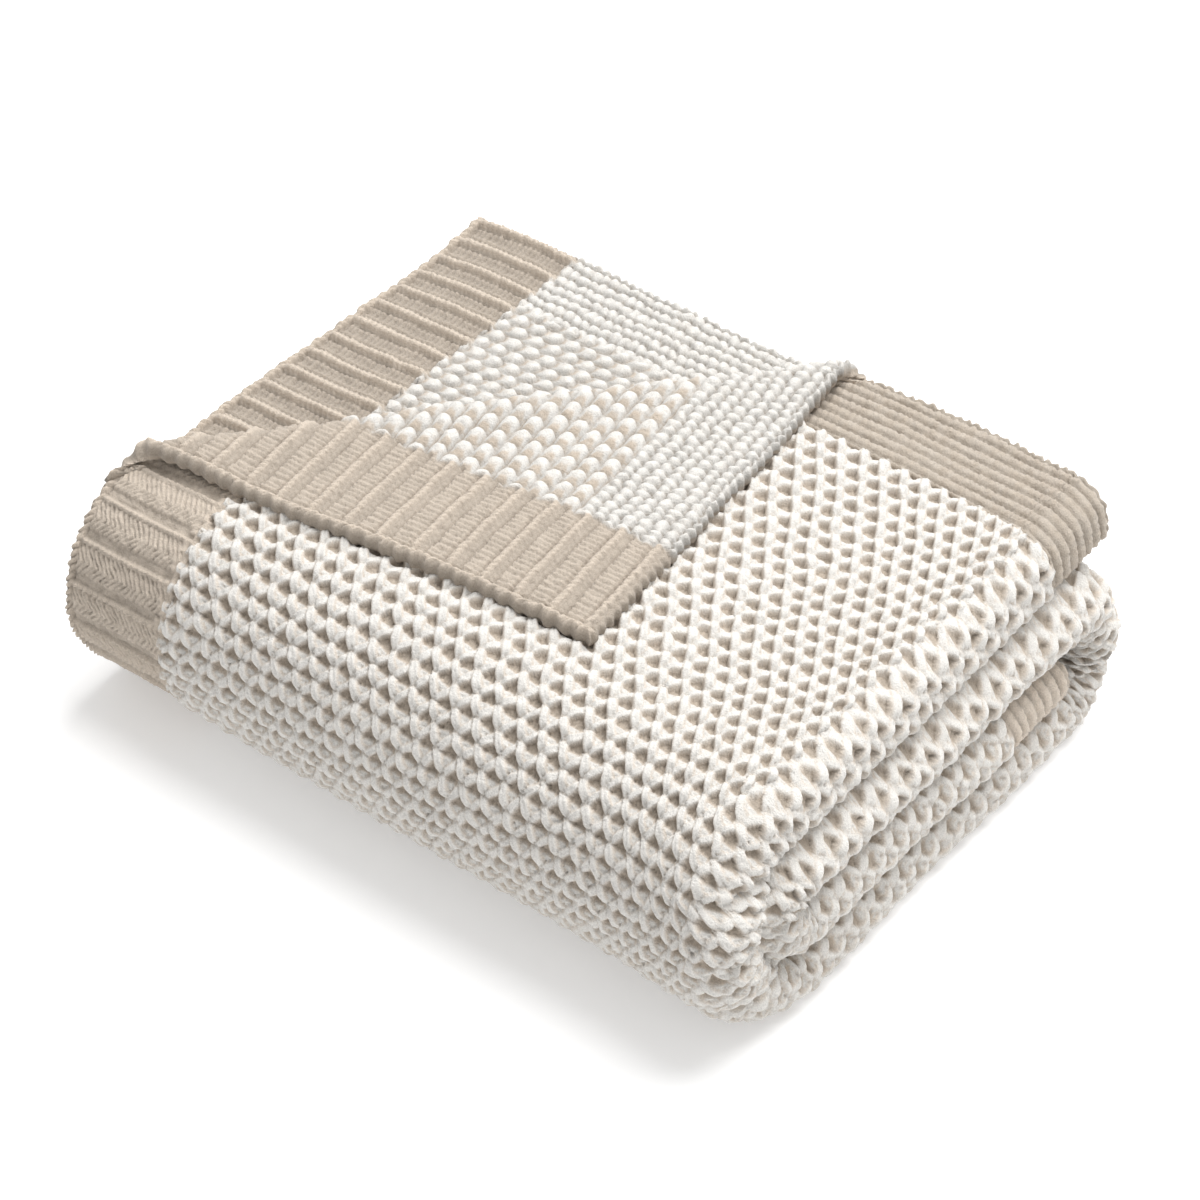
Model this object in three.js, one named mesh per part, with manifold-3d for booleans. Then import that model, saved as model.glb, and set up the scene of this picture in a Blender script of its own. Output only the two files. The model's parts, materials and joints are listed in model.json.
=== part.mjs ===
// A folded throw blanket. A chunky two-tone knit throw is folded in four along its length
// and in four across its width, and one top corner is turned back over the stack.
//
// Units are millimetres. +X runs from the hem end to the folded end, +Y from the wrapped
// long side to the open long side, and +Z is up. The origin is at the middle of the base.
//
// Along its length the throw makes four panels, which lie in the order 1, 4, 3, 2 from the
// outer face inwards. Together they are a pad four plies thick. The pad then runs across
// the stack as a ribbon: along the top, round the wrapped side, along the base, up round
// the open side, and back inside itself.

import * as THREE from 'three';
import { mergeVertices } from 'three/addons/utils/BufferGeometryUtils.js';
import Module from 'manifold-3d';

// ---- Driving dimensions ----

const FOLDED_LENGTH = 410; // along X, a quarter of the open length
const FOLDED_WIDTH = 325; // along Y, a quarter of the open width
const PLY_PITCH = 7.8; // one ply of the knit with the air above it
const PLY_GAP = 0.8; // the air between neighbouring plies
const PLIES_IN_PAD = 4;
const PADS_IN_STACK = 4;
const HEM_BAND = 70; // width of the ribbed band at each hem
const SIDE_BAND = 53; // width of the ridged band along each side
const SEAM_GAP = 0.4; // clearance between neighbouring solids of one ply
const TURNED_ALONG_HEM = 275; // length of hem edge in the turned-back corner
const TURNED_ALONG_SIDE = 250; // length of side edge in the turned-back corner
const CREASE_INSET = 10; // the crease roll stops this far inside the stack's edges
const CREASE_GAP = 0.2; // clearance between the turned-back corner and the crease line
const INNER_EDGE_INSET = 4; // the inner side edge stops this far before the open-side turn
const TURN_STEPS = 10; // facets round each half turn of the ribbon
const FOLD_STEPS = 6; // facets round each fold of a ply

// ---- Derived sizes ----

const PLY = PLY_PITCH - PLY_GAP;
const PAD_PITCH = PLIES_IN_PAD * PLY_PITCH;
const TOP = PADS_IN_STACK * PAD_PITCH - PLY_GAP;
const X_HEM = -FOLDED_LENGTH / 2;
const X_FOLD = FOLDED_LENGTH / 2;
const Y_WRAP = -FOLDED_WIDTH / 2;
const Y_OPEN = FOLDED_WIDTH / 2;
const OUTER_FOLD_RADIUS = 2 * PLY_PITCH - PLY_GAP / 2;
const INNER_FOLD_RADIUS = PLY_PITCH - PLY_GAP / 2;
const X_END_CENTRE = X_FOLD - OUTER_FOLD_RADIUS;
const X_HEM_CENTRE = X_HEM + INNER_FOLD_RADIUS;
const X_BAND = X_HEM + HEM_BAND;

// ---- Materials ----

const fieldKnit = new THREE.MeshStandardMaterial({ color: 0xe9e5dd, roughness: 0.95, metalness: 0 });
const hemKnit = new THREE.MeshStandardMaterial({ color: 0xc6b9a5, roughness: 0.95, metalness: 0 });
const sideKnit = new THREE.MeshStandardMaterial({ color: 0xcfc4b3, roughness: 0.95, metalness: 0 });

const wasm = await Module();
wasm.setup();

// ---- The ribbon's path: the outer face of the pad, in the YZ plane ----

// Each leg is a straight run or a half turn. A half turn starts with the outer face at
// startAngle, seen along -X, and goes anticlockwise round its centre.
function buildLegs() {
  const wrapRadius = TOP / 2;
  const openRadius = (3 * PAD_PITCH - PLY_GAP) / 2;
  const innerRadius = PAD_PITCH - PLY_GAP / 2;
  const yWrapCentre = Y_WRAP + wrapRadius;
  const yOpenCentre = Y_OPEN - openRadius;
  const straight = (y, z, direction, length) => ({ y, z, direction, length });
  const halfTurn = (y, z, radius, startAngle) => ({ y, z, radius, startAngle, length: Math.PI * radius });
  return [
    straight(Y_OPEN, TOP, -1, Y_OPEN - yWrapCentre),
    halfTurn(yWrapCentre, wrapRadius, wrapRadius, Math.PI / 2),
    straight(yWrapCentre, 0, 1, yOpenCentre - yWrapCentre),
    halfTurn(yOpenCentre, openRadius, openRadius, -Math.PI / 2),
    straight(yOpenCentre, 2 * openRadius, -1, yOpenCentre - yWrapCentre),
    halfTurn(yWrapCentre, PAD_PITCH + innerRadius, innerRadius, Math.PI / 2),
    straight(yWrapCentre, PAD_PITCH, 1, yOpenCentre - yWrapCentre - INNER_EDGE_INSET),
  ];
}

const LEGS = buildLegs();
const RIBBON_LENGTH = LEGS.reduce((sum, leg) => sum + leg.length, 0);

// The point of the outer face at a distance along the ribbon, with its outward normal.
function stationAt(distance) {
  let before = 0;
  let index = 0;
  while (index < LEGS.length - 1 && distance > before + LEGS[index].length) {
    before += LEGS[index].length;
    index += 1;
  }
  const leg = LEGS[index];
  const along = distance - before;
  if (leg.radius === undefined) {
    return { y: leg.y + leg.direction * along, z: leg.z, normalY: 0, normalZ: -leg.direction };
  }
  const angle = leg.startAngle + along / leg.radius;
  const normalY = Math.cos(angle);
  const normalZ = Math.sin(angle);
  return { y: leg.y + leg.radius * normalY, z: leg.z + leg.radius * normalZ, normalY, normalZ };
}

// The stations of a stretch of ribbon: its two ends, and every facet edge between them.
function stationsBetween(from, to) {
  const distances = [from];
  let before = 0;
  for (const leg of LEGS) {
    const steps = leg.radius === undefined ? 1 : TURN_STEPS;
    for (let step = 0; step <= steps; step += 1) {
      const distance = before + (leg.length * step) / steps;
      if (distance > distances[distances.length - 1] + 1e-6 && distance < to - 1e-6) {
        distances.push(distance);
      }
    }
    before += leg.length;
  }
  distances.push(to);
  return distances.map(stationAt);
}

// ---- Closed solids ----

function closedGeometry(positions, triangles) {
  let sixVolumes = 0;
  const corner = (index) => new THREE.Vector3(...positions.slice(3 * index, 3 * index + 3));
  for (const [a, b, c] of triangles) {
    sixVolumes += corner(a).dot(corner(b).cross(corner(c)));
  }
  const outward = sixVolumes > 0 ? triangles : triangles.map(([a, b, c]) => [a, c, b]);
  const geometry = new THREE.BufferGeometry();
  geometry.setAttribute('position', new THREE.Float32BufferAttribute(positions, 3));
  geometry.setIndex(outward.flat());
  geometry.computeVertexNormals();
  return geometry;
}

// A section of points [x, depth below the outer face], carried along a stretch of ribbon.
function sweepSection(points, from, to) {
  const outline = points.map(([x, depth]) => new THREE.Vector2(x, depth));
  if (THREE.ShapeUtils.isClockWise(outline)) {
    outline.reverse();
  }
  const stations = stationsBetween(from, to);
  const count = outline.length;
  const positions = [];
  for (const station of stations) {
    for (const { x, y: depth } of outline) {
      positions.push(x, station.y - depth * station.normalY, station.z - depth * station.normalZ);
    }
  }
  const triangles = [];
  for (let ring = 0; ring + 1 < stations.length; ring += 1) {
    for (let i = 0; i < count; i += 1) {
      const a = ring * count + i;
      const b = ring * count + ((i + 1) % count);
      triangles.push([a, b, b + count], [a, b + count, a + count]);
    }
  }
  const cap = THREE.ShapeUtils.triangulateShape(outline, []);
  const last = (stations.length - 1) * count;
  for (const [a, b, c] of cap) {
    triangles.push([a, c, b], [last + a, last + b, last + c]);
  }
  return closedGeometry(positions, triangles);
}

// A flat ply in the pad: a rectangle from x0 to x1, ply number 0 at the outer face.
function plySection(ply, x0, x1) {
  const depth = ply * PLY_PITCH;
  return [[x0, depth], [x1, depth], [x1, depth + PLY], [x0, depth + PLY]];
}

// A half ring that joins two plies at an end of the pad. side is +1 at the folded end.
function foldSection(centreX, centreDepth, outerRadius, side) {
  const points = [];
  const addArc = (radius, from, to) => {
    for (let step = 0; step <= FOLD_STEPS; step += 1) {
      const angle = from + ((to - from) * step) / FOLD_STEPS;
      points.push([centreX + side * radius * Math.cos(angle), centreDepth + radius * Math.sin(angle)]);
    }
  };
  addArc(outerRadius, -Math.PI / 2, Math.PI / 2);
  addArc(outerRadius - PLY, Math.PI / 2, -Math.PI / 2);
  return points;
}

// ---- The turned-back corner ----

// The crease runs from the hem edge to the side edge of the top ply.
const creaseStart = new THREE.Vector2(X_HEM, Y_OPEN - TURNED_ALONG_HEM);
const creaseEnd = new THREE.Vector2(X_HEM + TURNED_ALONG_SIDE, Y_OPEN);
const creaseDirection = creaseEnd.clone().sub(creaseStart).normalize();
const creaseInward = new THREE.Vector2(creaseDirection.y, -creaseDirection.x);
const CREASE_Z = TOP + PLY_GAP / 2;

function mirrorInCrease(point) {
  const offset = point.clone().sub(creaseStart);
  return point.clone().addScaledVector(creaseInward, -2 * offset.dot(creaseInward));
}

// Keeps the part of a convex plan polygon that lies on the corner's side of the crease,
// and at least the gap away from it.
function clipToCorner(polygon, gap) {
  const reach = (point) => point.clone().sub(creaseStart).dot(creaseInward) + gap;
  const kept = [];
  polygon.forEach((point, i) => {
    const next = polygon[(i + 1) % polygon.length];
    const here = reach(point);
    const there = reach(next);
    if (here <= 0) {
      kept.push(point);
    }
    if (here < 0 !== there < 0) {
      kept.push(point.clone().lerp(next, here / (here - there)));
    }
  });
  return kept;
}

function planPrism(polygon, bottom, height) {
  const shape = new THREE.Shape(polygon);
  const geometry = new THREE.ExtrudeGeometry(shape, { depth: height, bevelEnabled: false });
  return geometry.translate(0, 0, bottom);
}

function planRectangle(x0, x1, y0, y1) {
  return [
    new THREE.Vector2(x0, y0),
    new THREE.Vector2(x1, y0),
    new THREE.Vector2(x1, y1),
    new THREE.Vector2(x0, y1),
  ];
}

// A piece of the corner, turned over about the crease on to the top of the stack.
function flapPiece(x0, x1, y0, y1) {
  const corner = clipToCorner(planRectangle(x0, x1, y0, y1), CREASE_GAP);
  return planPrism(corner.map(mirrorInCrease), TOP + PLY_GAP, PLY);
}

function toManifold(geometry) {
  const bare = geometry.clone();
  bare.deleteAttribute('normal');
  bare.deleteAttribute('uv');
  const merged = mergeVertices(bare);
  const vertProperties = Float32Array.from(merged.getAttribute('position').array);
  const triVerts = Uint32Array.from(merged.getIndex().array);
  return new wasm.Manifold(new wasm.Mesh({ numProp: 3, vertProperties, triVerts }));
}

// Takes the turned-back corner out of the top ply.
function withoutCorner(geometry) {
  const margin = 5;
  const far = planRectangle(X_HEM - margin, X_FOLD, Y_WRAP, Y_OPEN + margin);
  const cutter = planPrism(clipToCorner(far, 0), TOP - PLY - PLY_GAP / 2, PLY + PLY_GAP);
  const result = toManifold(geometry).subtract(toManifold(cutter)).getMesh();
  const cut = new THREE.BufferGeometry();
  cut.setAttribute('position', new THREE.Float32BufferAttribute(result.vertProperties, 3));
  cut.setIndex(Array.from(result.triVerts));
  cut.computeVertexNormals();
  return cut;
}

// The soft roll of fabric along the crease: a half ring on the corner's side of it.
function creaseRoll() {
  const outer = PLY + PLY_GAP / 2;
  const shape = new THREE.Shape();
  shape.absarc(0, 0, outer, -Math.PI / 2, Math.PI / 2, false);
  shape.absarc(0, 0, PLY_GAP / 2, Math.PI / 2, -Math.PI / 2, true);
  shape.closePath();
  const fullLength = creaseStart.distanceTo(creaseEnd);
  const geometry = new THREE.ExtrudeGeometry(shape, {
    depth: fullLength - 2 * CREASE_INSET,
    bevelEnabled: false,
    curveSegments: FOLD_STEPS,
  });
  const frame = new THREE.Matrix4().makeBasis(
    new THREE.Vector3(-creaseInward.x, -creaseInward.y, 0),
    new THREE.Vector3(0, 0, 1),
    new THREE.Vector3(creaseDirection.x, creaseDirection.y, 0),
  );
  const origin = creaseStart.clone().addScaledVector(creaseDirection, CREASE_INSET);
  origin.addScaledVector(creaseInward, -SEAM_GAP);
  frame.setPosition(origin.x, origin.y, CREASE_Z);
  return geometry.applyMatrix4(frame);
}

// ---- The object ----

const throwBlanket = new THREE.Group();

function addPiece(name, geometry, material) {
  const mesh = new THREE.Mesh(geometry, material);
  mesh.name = name;
  throwBlanket.add(mesh);
}

// A length of knit from side edge to side edge: its two side bands and the field between.
function addAcross(name, section, field, shape = (geometry) => geometry) {
  const bandEnd = SIDE_BAND - SEAM_GAP;
  const innerBandStart = RIBBON_LENGTH - SIDE_BAND + SEAM_GAP;
  addPiece(`${name}_side_band`, shape(sweepSection(section, 0, bandEnd)), sideKnit);
  addPiece(`${name}_field`, shape(sweepSection(section, SIDE_BAND, RIBBON_LENGTH - SIDE_BAND)), field);
  addPiece(`${name}_inner_side_band`, sweepSection(section, innerBandStart, RIBBON_LENGTH), sideKnit);
}

const xPanelEnd = X_END_CENTRE - SEAM_GAP;

// Panel 1 is the outer ply. Its corner is turned back.
const hemSection = (ply) => plySection(ply, X_HEM, X_BAND - SEAM_GAP);
addPiece('panel_1_hem_band', withoutCorner(sweepSection(hemSection(0), 0, RIBBON_LENGTH)), hemKnit);
addAcross('panel_1', plySection(0, X_BAND, xPanelEnd), fieldKnit, withoutCorner);

// Panel 4 lies against panel 1 and ends in the other hem.
addPiece('panel_4_hem_band', sweepSection(hemSection(1), 0, RIBBON_LENGTH), hemKnit);
addAcross('panel_4', plySection(1, X_BAND, xPanelEnd), fieldKnit);

// Panels 3 and 2 run to the fold that joins them at the hem end.
addAcross('panel_3', plySection(2, X_HEM_CENTRE + SEAM_GAP, xPanelEnd), fieldKnit);
addAcross('panel_2', plySection(3, X_HEM_CENTRE + SEAM_GAP, xPanelEnd), fieldKnit);

// The folds at the folded end join panels 1 and 2, and inside them panels 3 and 4.
const padMiddle = 2 * PLY_PITCH - PLY_GAP / 2;
addAcross('fold_1_2', foldSection(X_END_CENTRE, padMiddle, OUTER_FOLD_RADIUS, 1), fieldKnit);
addAcross('fold_3_4', foldSection(X_END_CENTRE, padMiddle, INNER_FOLD_RADIUS, 1), fieldKnit);
const hemFoldDepth = 3 * PLY_PITCH - PLY_GAP / 2;
addAcross('fold_2_3', foldSection(X_HEM_CENTRE, hemFoldDepth, INNER_FOLD_RADIUS, -1), fieldKnit);

// The turned-back corner of panel 1, with the reverse of the knit uppermost.
const yBand = Y_OPEN - SIDE_BAND;
addPiece('flap_hem_band', flapPiece(X_HEM, X_BAND - SEAM_GAP, Y_WRAP, Y_OPEN), hemKnit);
addPiece('flap_side_band', flapPiece(X_BAND, X_FOLD, yBand + SEAM_GAP, Y_OPEN), sideKnit);
addPiece('flap_field', flapPiece(X_BAND, X_FOLD, Y_WRAP, yBand), fieldKnit);
addPiece('flap_crease', creaseRoll(), fieldKnit);

export default throwBlanket;
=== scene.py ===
"""A folded chenille throw, knitted flat in code and then folded on to the CAD frame.

Every piece is made in fabric coordinates, in millimetres: u runs from a hem edge towards
the folded end, v from the open long side along the ribbon that wraps the stack, and n is
the height over the middle of the ply. The stitches are relief on n. fold_* then carries
the points to their place in the folded stack, and settle() gives the stack its softness.
"""

import json
import math

import bmesh
import bpy
import numpy as np
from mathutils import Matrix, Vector


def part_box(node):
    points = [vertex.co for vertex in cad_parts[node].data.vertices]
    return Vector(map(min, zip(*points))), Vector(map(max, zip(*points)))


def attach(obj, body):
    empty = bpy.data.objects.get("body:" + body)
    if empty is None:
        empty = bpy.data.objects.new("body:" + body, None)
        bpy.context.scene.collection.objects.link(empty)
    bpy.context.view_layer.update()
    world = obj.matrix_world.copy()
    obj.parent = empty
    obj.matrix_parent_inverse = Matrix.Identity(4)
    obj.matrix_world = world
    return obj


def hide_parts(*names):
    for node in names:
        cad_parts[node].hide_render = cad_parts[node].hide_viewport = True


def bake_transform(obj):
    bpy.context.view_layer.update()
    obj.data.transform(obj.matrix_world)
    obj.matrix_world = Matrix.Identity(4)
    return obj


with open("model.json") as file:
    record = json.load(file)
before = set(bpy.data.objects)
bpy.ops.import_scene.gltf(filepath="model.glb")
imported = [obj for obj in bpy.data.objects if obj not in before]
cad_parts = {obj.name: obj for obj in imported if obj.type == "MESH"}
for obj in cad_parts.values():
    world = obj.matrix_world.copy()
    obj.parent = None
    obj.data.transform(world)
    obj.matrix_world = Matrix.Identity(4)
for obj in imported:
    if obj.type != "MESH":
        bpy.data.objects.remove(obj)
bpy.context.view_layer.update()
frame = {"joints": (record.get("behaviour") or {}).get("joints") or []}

MM = 0.001

# ---- Sizes read from the frame, in millimetres ----


def node_box(name):
    low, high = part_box(name)
    return np.array(low) / MM, np.array(high) / MM


hem_low, _ = node_box("panel_1_hem_band")
field_low, _ = node_box("panel_1_field")
side_low, side_high = node_box("panel_1_side_band")
_, second_high = node_box("panel_4_side_band")
_, end_high = node_box("fold_1_2_field")

X_HEM = hem_low[0]
X_FOLD = end_high[0]
Y_WRAP = field_low[1]
Y_OPEN = side_high[1]
TOP = side_high[2]
LENGTH = X_FOLD - X_HEM
WIDTH = Y_OPEN - Y_WRAP
PLY = side_high[2] - side_low[2]
PLY_PITCH = side_high[2] - second_high[2]
PLY_GAP = PLY_PITCH - PLY
PAD_PITCH = 4 * PLY_PITCH
HEM_BAND = field_low[0] - X_HEM
SIDE_BAND = Y_OPEN - side_low[1]
OUTER_FOLD_RADIUS = 2 * PLY_PITCH - PLY_GAP / 2
INNER_FOLD_RADIUS = PLY_PITCH - PLY_GAP / 2
X_END_CENTRE = X_FOLD - OUTER_FOLD_RADIUS
X_HEM_CENTRE = X_HEM + INNER_FOLD_RADIUS
PAD_MIDDLE = 2 * PLY_PITCH - PLY_GAP / 2
FOLD_MIDDLE = OUTER_FOLD_RADIUS - 0.5 * PLY  # mean radius of the outer fold
INNER_RADIUS = INNER_FOLD_RADIUS - 0.5 * PLY  # mean radius of the inner folds
U_FOLD = LENGTH - OUTER_FOLD_RADIUS
U_END = U_FOLD + math.pi * FOLD_MIDDLE

corner_joint = frame["joints"][0]
crease_start = np.array(corner_joint["pos_m"][:2]) / MM
crease_direction = -np.array(corner_joint["axis"][:2])
crease_direction /= np.linalg.norm(crease_direction)
crease_inward = np.array([crease_direction[1], -crease_direction[0]])
TURNED_ALONG_HEM = Y_OPEN - crease_start[1]
TURNED_ALONG_SIDE = TURNED_ALONG_HEM * crease_direction[0] / crease_direction[1]

# ---- The knit's gauge, in millimetres ----

CELL_U = 12.5  # honeycomb cell along u
CELL_V = 9.8  # rows of cells along v
RIB_FACE = 23.0  # hem rib repeat on the face
STROKE = 3.3  # pitch of the slanted strokes in the hem bands
TWIST = 3.4  # pitch of the twist in the hem's rope ridges
SIDE_RIDGE = 6.6  # ridges of the side band, face
KNOT_ROW = 7.2  # rows of white knots along the side band, reverse
KNOT = 6.0  # length of one knot
EDGE_ROLL = 6.0  # width of the bound edge
EDGE_CHAIN = 4.3  # pitch of the edge stitches
SCALLOP = 1.7  # how far the stitches move the edges in and out
SCALLOP_PITCH = 8.6

# The reverse, as hem rib repeat, height of the ribs' swell, width of a column of bobbles,
# length of a bobble, and where along the bobble the white yarn starts, from 0 to 1; the taupe before
# it is partly the yarn and partly painted shade.
SECOND_REVERSE = (17.4, 2.0, 8.7, 11.2, 0.05)
CORNER_REVERSE = (19.6, 0.3, CELL_V, 11.6, 0.20)

FINE = 0.8  # mesh step where the knit is seen
FAIRLY_FINE = 1.3 * FINE
MEDIUM = 2.0 * FINE
COARSE = 9.0
EDGE_STRIP = 9.0  # a hidden ply keeps the fine mesh this far in from its edges

# Yarn colours, linear.
WHITE = (0.705, 0.684, 0.648)
TAUPE = (0.59, 0.507, 0.42)
SIDE_TAUPE = (0.455, 0.39, 0.32)

# ---- Small numerical tools. The last argument of every noise() is its seed. ----


def smooth(x, low, high):
    t = np.clip((x - low) / (high - low), 0, 1)
    return t * t * (3 - 2 * t)


def noise(x, y, cell, seed):
    """Smooth noise from -1 to 1, with features about cell wide."""
    gx, gy = x / cell, y / cell
    ix, iy = np.floor(gx), np.floor(gy)
    fx, fy = gx - ix, gy - iy
    fx, fy = fx * fx * (3 - 2 * fx), fy * fy * (3 - 2 * fy)

    def corner(dx, dy):
        a = (ix + dx).astype(np.int64) * 374761393
        b = (iy + dy).astype(np.int64) * 668265263
        h = (a + b + seed * 974711) & 0xFFFFFFFF
        h = ((h ^ (h >> 13)) * 1274126177) & 0xFFFFFFFF
        return ((h ^ (h >> 16)) & 0xFFFF) / 32767.5 - 1

    low = corner(0, 0) * (1 - fx) + corner(1, 0) * fx
    high = corner(0, 1) * (1 - fx) + corner(1, 1) * fx
    return low * (1 - fy) + high * fy


def dome(x):
    """A round profile: 1 at x = 0, 0 at x = -1 and 1, and 0 outside."""
    return np.sqrt(np.clip(1 - x * x, 0, 1))


def hump(x):
    """A soft bell: 1 at x = 0, and nearly 0 from x = 2."""
    return np.exp(-(x**2))


def fraction(x):
    """How far x is past a whole number, from 0 to 1."""
    return x - np.floor(x)


def spread(*runs):
    """Sample places along one direction, from (start, end, step) runs that join up."""
    places = []
    for start, end, step in runs:
        count = max(1, round((end - start) / step))
        places.append(np.linspace(start, end, count + 1)[:-1])
    return np.concatenate(places + [[runs[-1][1]]])


# ---- Stitches: each returns height in mm and tone, 0 for taupe and 1 for white yarn; the tone also holds painted shade ----

# The strands of one honeycomb cell, in millimetres from the middle of its hole: start, end,
# half width, and the height of the strand's axis at its start, middle and end.
STRANDS = (
    ((6.3, -0.6), (6.3, 4.6), 2.7, (-2.2, -2.0, -2.2)),
    ((-5.4, 5.8), (3.6, 5.6), 2.0, (-1.4, -0.4, -1.4)),
    ((-6.6, 2.6), (1.0, -5.6), 2.35, (-0.8, 0.9, -0.6)),
    ((1.2, -6.0), (5.8, 0.4), 2.6, (0.5, 1.6, -0.2)),
)
HOLE_DEPTH = 1.7  # under the arch; the hole slopes up to its open end
HOLE_SLOPE = 0.26
STRAND_HEIGHT = 2.5
FIBRE_PITCH = 2.6  # ribs of the taupe ground in the hole
SEAM_WIDTH = 0.45  # two strands closer in height than this have a seam between them
SEAM_DEPTH = 0.9
FAR_BELOW = -9.0


def honeycomb(u, v):
    """The face of the field: white strands in a net over a taupe ground."""
    wander_u = u + 1.1 * noise(u, v, 17, 3) + 0.8 * noise(u, v, 6, 4)
    wander_v = v + 0.9 * noise(u, v, 19, 5) + 0.8 * noise(u, v, 6, 6)
    stout = 1 + 0.14 * noise(u, v, 8, 7)
    strand = np.full_like(u, FAR_BELOW)
    second = np.full_like(u, FAR_BELOW)
    rim = np.ones_like(u)
    nearest = np.full_like(u, 99.0)
    in_hole = np.zeros_like(u)
    row = np.round(wander_v / CELL_V)
    for row_step in (-1, 0, 1):
        k = row + row_step
        hole_v = k * CELL_V
        shift = 0.5 * (k % 2)
        column = np.round(wander_u / CELL_U - shift)
        for column_step in (-1, 0, 1):
            hole_u = (column + column_step + shift) * CELL_U
            from_hole = np.hypot(wander_u - hole_u, wander_v - hole_v)
            in_hole = np.where(from_hole < nearest, wander_v - hole_v, in_hole)
            nearest = np.minimum(nearest, from_hole)
            for (au, av), (bu, bv), half, lifts in STRANDS:
                du, dv = bu - au, bv - av
                pu = wander_u - hole_u - au
                pv = wander_v - hole_v - av
                long = math.hypot(du, dv)
                t = np.clip((pu * du + pv * dv) / long**2, 0, 1)
                away = np.hypot(pu - t * du, pv - t * dv) / (half * stout)
                side = (pu * dv - pv * du) / long / (half * stout)
                lift = lifts[0] * (1 - t) + lifts[2] * t
                middle = 0.5 * (lifts[0] + lifts[2])
                lift = lift + (lifts[1] - middle) * 4 * t * (1 - t)
                ply = 1 - 0.26 * hump(side / 0.20)
                here = lift + STRAND_HEIGHT * dome(away) ** 0.6 * ply + FAR_BELOW * (away > 1)
                rim = np.where(here > strand, away, rim)
                second = np.maximum(second, np.minimum(strand, here))
                strand = np.maximum(strand, here)
    fibres = 0.7 * np.abs(np.sin(wander_u * 2 * np.pi / FIBRE_PITCH + 0.4 * wander_v))
    height = -HOLE_DEPTH + HOLE_SLOPE * np.clip(in_hole + 3.5, 0, 8) + fibres
    # Painted shade: the tone turns taupe towards the edge of the topmost strand, and falls along the
    # seams where strands meet.
    tone = smooth(strand - height, -0.1, 0.5) * (1 - 0.75 * smooth(rim, 0.45, 1.05))
    seam = hump((strand - second) / SEAM_WIDTH)
    height = np.maximum(height, strand) - SEAM_DEPTH * seam
    return height, tone * (1 - 0.35 * seam)


def popcorn(u, v, column, pitch, white_from):
    """The reverse of the field: columns of bobbles along u, each white but for its root, whose taupe
    is partly the yarn and partly painted shade.
    """
    wander_v = v + 0.7 * noise(u, v, 22, 11) + 0.3 * noise(u, v, 5, 14)
    k = np.round(wander_v / column)
    b = (wander_v - k * column) / (0.49 * column)
    wander_u = u / pitch + 0.5 * (k % 2) + 0.07 * noise(u, v, 13, 12) + 0.12 * np.sin(k * 2.3)
    a = fraction(wander_u)
    tip = 0.97 - 0.30 * b * b
    rise = 0.50 + 0.50 * smooth(a, -0.05, 0.60)
    fall = dome(np.clip((a - tip + 0.24) / 0.24, 0, 1))
    over = smooth(a, tip - 0.02, tip + 0.03)
    body = dome(b) ** 0.7
    gap = hump((a - tip - 0.02) / 0.06)
    height = 4.0 * body * (rise * fall * (1 - over) + 0.48 * over) - 2.0 - gap * body
    rim = 0.55 * smooth(np.abs(b), 0.35, 0.75)
    tone = smooth(a + 0.5 * rim, white_from, white_from + 0.25) * (1 - over)
    # Painted shade: the tone falls in the gap before the next bobble and towards the edges of each
    # column.
    tone = (tone + (0.15 + rim) * over) * (1 - 0.5 * gap)
    mottle = 0.30 * noise(u, v, 2.0, 13) * (1 - 0.6 * smooth(a, 0.5, 0.8))
    tone = tone * smooth(body, 0.15, 0.55) + mottle
    return height, np.clip(tone, 0, 1)


def rope(u, across, width, pitch, slant):
    """A narrow raised ridge along u, twisted like a cord."""
    body = dome(across / (0.5 * width))
    twist = 0.5 + 0.5 * np.cos(2 * np.pi * (u / pitch + slant * across / width))
    return body * (0.72 + 0.45 * twist)


def strokes(along, across, pitch, slant, seed):
    """Short slanted stitches side by side, with narrow gaps between them."""
    wave = along + slant * across + 0.9 * noise(along, across, 7, seed)
    wave = wave + 0.5 * noise(along, across, 2.8, seed + 1)
    phase = wave / pitch - np.round(wave / pitch)
    return np.sqrt(np.clip(1 - (phase / 0.5) ** 2, 0, 1))


HEM_TONE = 0.05


def hem_face(u, v):
    """Hem band, face: wide flat panels of slanted strokes between pairs of ridges."""
    w = v + 0.9 * noise(u, v, 30, 21)
    a = fraction(w / RIB_FACE) * RIB_FACE
    panel_half = 0.36 * RIB_FACE
    c = a - panel_half
    height = -0.6 + 1.2 * dome(c / (panel_half + 1.2)) + 1.9 * strokes(u, np.abs(c), STROKE, 0.7, 22)
    pair = a - 0.86 * RIB_FACE
    near = np.abs(pair) < 3.7
    for side in (-1, 1):
        ridge = rope(u + side, pair - side * 1.9, 3.6, TWIST, 1.2 * side)
        height = np.where(near, np.maximum(height - 2.6, 3.0 * ridge), height)
    height = height - 1.4 * hump((np.abs(pair) - 4.0) / 0.9)
    return height - 1.2, HEM_TONE + 0 * u


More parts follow.
